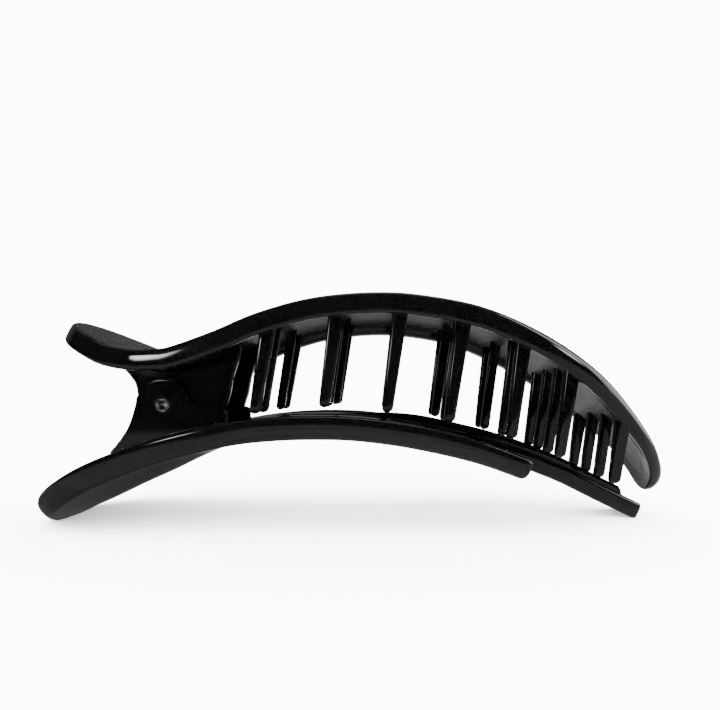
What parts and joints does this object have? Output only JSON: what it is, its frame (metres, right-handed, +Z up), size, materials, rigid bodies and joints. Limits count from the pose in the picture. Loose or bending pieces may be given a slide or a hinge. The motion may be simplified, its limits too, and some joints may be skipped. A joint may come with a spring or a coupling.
{
  "type": "hair clip",
  "caption": "Long curved hair claw clip in gloss black plastic, with two thumb handles, a steel hinge pin and inner teeth.",
  "frame": {"origin": "centre of the bounding box's footprint, on the floor that the closed clip rests on", "axes": "+X along the clip from the handles to the nose, +Y across it, +Z up"},
  "size_m": [0.1292, 0.04, 0.0457],
  "materials": {
    "black_plastic": "gloss",
    "steel": "satin"
  },
  "bodies": {
    "lower_half": {"lower_jaw": "black_plastic", "hinge_pin": "steel", "torsion_spring": "steel"},
    "upper_half": {"upper_jaw": "black_plastic"}
  },
  "joints": [
    {"name": "hinge", "type": "hinge", "parent": "lower_half", "child": "upper_half", "pos_m": [-0.03753, 0, 0.0236], "axis": [0, -1, 0], "range_deg": [0, 40], "stiffness_Nm_per_rad": 0.25, "springref_deg": -28.65, "deforming": ["torsion_spring"]}
  ]
}
